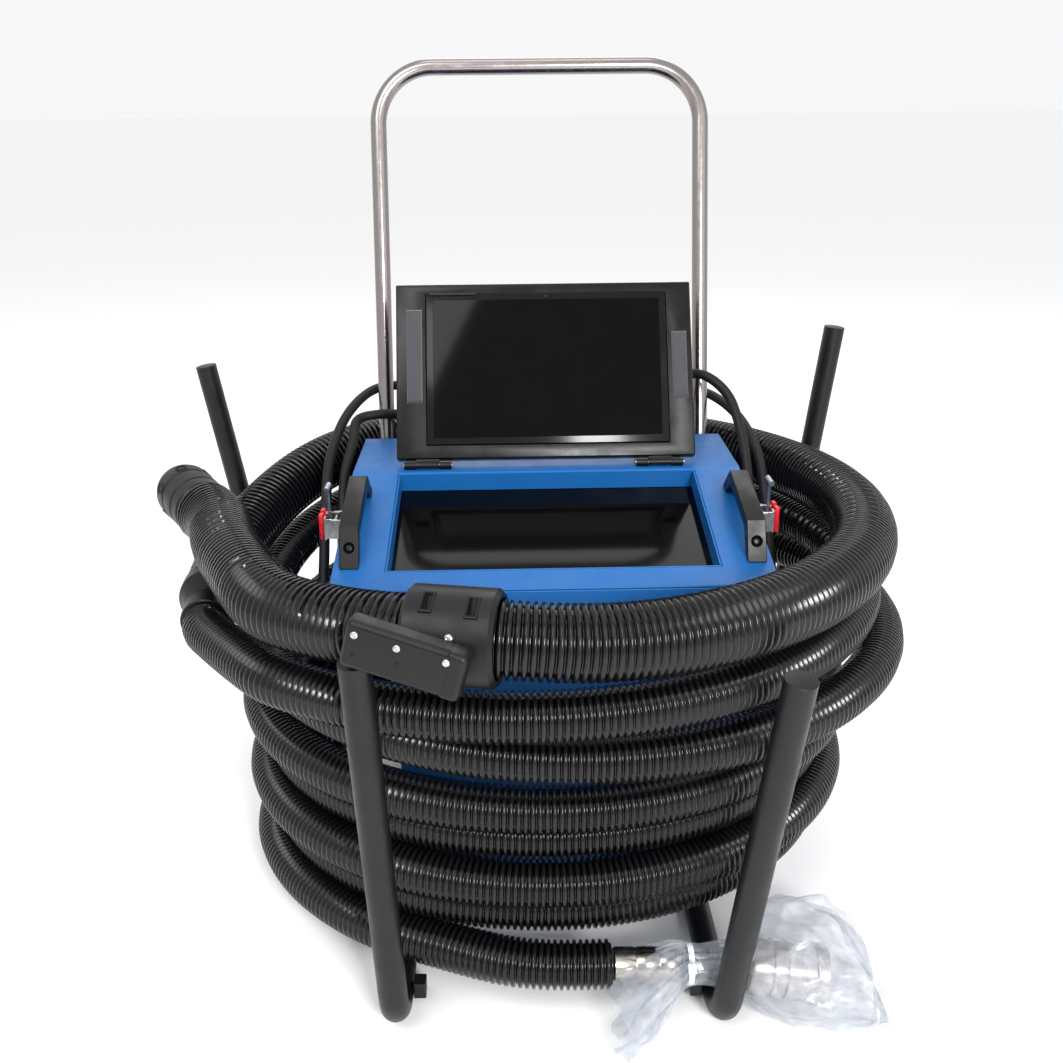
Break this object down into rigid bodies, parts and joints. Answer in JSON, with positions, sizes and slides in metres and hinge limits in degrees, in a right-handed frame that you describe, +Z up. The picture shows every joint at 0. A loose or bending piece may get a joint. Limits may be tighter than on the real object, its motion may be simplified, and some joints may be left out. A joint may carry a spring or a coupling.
{
  "type": "inspection camera",
  "caption": "Pipe inspection camera with sloping blue console, tilting tablet lid and coiled corrugated hose in a tubular push cradle.",
  "frame": {"origin": "on the floor, under the middle of the cradle, console and push handle", "axes": "+Z up, +Y from the operator's side towards the push handle, +X to the right seen from the operator's side"},
  "size_m": [0.7491, 0.6874, 0.7913],
  "materials": {
    "powder_blue": "textured blue powder coat on folded steel sheet",
    "black_powder": "black powder coat on steel tube",
    "black_plastic": "moulded black plastic",
    "screen_glass": "glossy black screen cover",
    "felt": "dark grey felt pad",
    "bright_steel": "bright zinc-plated and turned steel",
    "stainless": "brushed stainless tube",
    "red_rubber": "red dipped rubber",
    "hose_plastic": "black corrugated polyamide hose",
    "black_rubber": "black cable rubber",
    "clear_film": "clear polyethylene film",
    "white_nylon": "white nylon tie",
    "tyre": "black rubber tyre",
    "battery_case": "dark grey battery case"
  },
  "bodies": {
    "cradle": {"console_body": "powder_blue", "top_frame": "powder_blue", "screen_well_wall": "powder_blue", "lower_cabinet": "powder_blue", "rail_and_post_left": "black_powder", "rail_and_post_right": "black_powder", "rear_hoop": "black_powder", "rail_lug_left": "black_powder", "rail_lug_right": "black_powder", "base_plate": "black_powder", "axle_bracket_left": "black_powder", "axle_bracket_right": "black_powder", "carry_handle_left": "black_plastic", "carry_handle_right": "black_plastic", "handle_clamp_left": "black_plastic", "handle_clamp_right": "black_plastic", "end_cuff": "black_plastic", "coupling_sleeve": "black_plastic", "clasp_housing": "black_plastic", "hose_reducer": "black_plastic", "display_module": "black_plastic", "screen_glass": "screen_glass", "camera_lens": "screen_glass", "hinge_deck_leaf_left": "bright_steel", "hinge_deck_leaf_right": "bright_steel", "hinge_pin_left": "bright_steel", "hinge_pin_right": "bright_steel", "latch_base_left": "bright_steel", "latch_base_right": "bright_steel", "wheel_axle": "bright_steel", "hose_end_sleeve": "bright_steel", "camera_body": "bright_steel", "push_handle": "stainless", "upper_hose": "hose_plastic", "hose_second_turn": "hose_plastic", "hose_third_turn": "hose_plastic", "hose_coil": "hose_plastic", "hose_run_out": "hose_plastic", "cable_left_outer": "black_rubber", "cable_left_inner": "black_rubber", "cable_right_outer": "black_rubber", "cable_right_inner": "black_rubber", "ribbed_boot": "black_rubber", "protective_bag": "clear_film", "cable_tie": "white_nylon", "battery_pack": "battery_case"},
    "lid": {"lid_shell": "black_plastic", "tablet": "screen_glass", "foam_pad_left": "felt", "foam_pad_right": "felt", "hinge_lid_leaf_left": "bright_steel", "hinge_lid_leaf_right": "bright_steel"},
    "latch_lever_left": {"latch_lever_left": "bright_steel", "latch_grip_left": "red_rubber"},
    "latch_hook_left": {"latch_hook_left": "bright_steel"},
    "wheel_left": {"wheel_left": "tyre"},
    "latch_lever_right": {"latch_lever_right": "bright_steel", "latch_grip_right": "red_rubber"},
    "latch_hook_right": {"latch_hook_right": "bright_steel"},
    "wheel_right": {"wheel_right": "tyre"}
  },
  "joints": [
    {"name": "lid_hinge", "type": "hinge", "parent": "cradle", "child": "lid", "pos_m": [0.02237, 0.0437, 0.4105], "axis": [1, 0, 0], "range_deg": [-4, 129]},
    {"name": "latch_lever_left", "type": "hinge", "parent": "cradle", "child": "latch_lever_left", "pos_m": [-0.17993, -0.0313, 0.3835], "axis": [0, 1, 0], "range_deg": [0, 85]},
    {"name": "latch_hook_left", "type": "hinge", "parent": "latch_lever_left", "child": "latch_hook_left", "pos_m": [-0.18573, -0.0313, 0.3725], "axis": [0, 1, 0], "range_deg": [-85, 0]},
    {"name": "wheel_left", "type": "hinge", "parent": "cradle", "child": "wheel_left", "pos_m": [-0.19263, 0.2987, 0.045], "axis": [1, 0, 0], "continuous": true},
    {"name": "latch_lever_right", "type": "hinge", "parent": "cradle", "child": "latch_lever_right", "pos_m": [0.22467, -0.0313, 0.3835], "axis": [0, -1, 0], "range_deg": [0, 85]},
    {"name": "latch_hook_right", "type": "hinge", "parent": "latch_lever_right", "child": "latch_hook_right", "pos_m": [0.23047, -0.0313, 0.3725], "axis": [0, -1, 0], "range_deg": [-85, 0]},
    {"name": "wheel_right", "type": "hinge", "parent": "cradle", "child": "wheel_right", "pos_m": [0.23737, 0.2987, 0.045], "axis": [1, 0, 0], "continuous": true}
  ],
  "couplings": [
    {"joint": "latch_hook_left", "follows": "latch_lever_left", "ratio": -1},
    {"joint": "latch_hook_right", "follows": "latch_lever_right", "ratio": -1}
  ]
}
